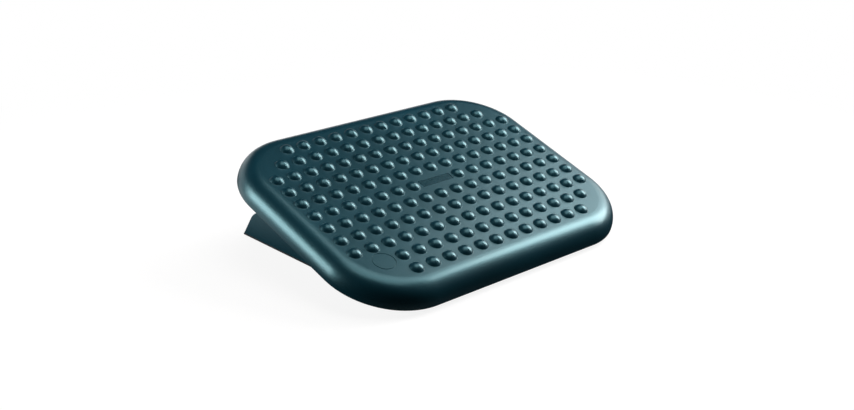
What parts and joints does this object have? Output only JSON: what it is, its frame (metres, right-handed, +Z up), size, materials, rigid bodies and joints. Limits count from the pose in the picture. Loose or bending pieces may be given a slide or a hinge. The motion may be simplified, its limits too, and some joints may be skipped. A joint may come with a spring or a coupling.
{
  "type": "footrest",
  "caption": "Low tilting footrest: a rounded tray-like tread with a grid of small massage bumps, rocking on an axle between two straight-bottomed side cheeks.",
  "frame": {"origin": "on the floor, at the middle of the whole outline with the platform tipped fully towards the user", "axes": "+X across the footrest to the right of a person using it, +Y away from that person, +Z up"},
  "size_m": [0.452, 0.3357, 0.1305],
  "materials": {
    "tray_plastic": "satin",
    "plate_plastic": "satin",
    "frame_plastic": "matte",
    "acetal": "satin",
    "nylon": "matte",
    "zinc_steel": "satin",
    "spring_steel": "satin",
    "axle_steel": "polished",
    "pad_rubber": "matte",
    "foot_rubber": "matte"
  },
  "bodies": {
    "base": {"left_cheek": "tray_plastic", "right_cheek": "tray_plastic", "front_rail": "frame_plastic", "rear_rail": "frame_plastic", "rail_screws": "zinc_steel", "pivot_axle": "axle_steel", "left_thrust_washer": "nylon", "right_thrust_washer": "nylon", "left_outer_washer": "zinc_steel", "right_outer_washer": "zinc_steel", "left_axle_clip": "spring_steel", "right_axle_clip": "spring_steel", "left_axle_cap": "tray_plastic", "right_axle_cap": "tray_plastic", "left_foot_strip": "foot_rubber", "right_foot_strip": "foot_rubber"},
    "platform": {"tread_platform": "tray_plastic", "centre_plate": "plate_plastic", "left_pivot_bracket": "frame_plastic", "right_pivot_bracket": "frame_plastic", "left_pivot_bush": "acetal", "right_pivot_bush": "acetal", "bracket_screws": "zinc_steel", "front_left_stop_pad": "pad_rubber", "front_right_stop_pad": "pad_rubber", "rear_left_stop_pad": "pad_rubber", "rear_right_stop_pad": "pad_rubber"}
  },
  "joints": [
    {"name": "platform_tilt", "type": "hinge", "parent": "base", "child": "platform", "pos_m": [0, 0.00687, 0.0608], "axis": [-1, 0, 0], "range_deg": [0, 28.5]}
  ]
}
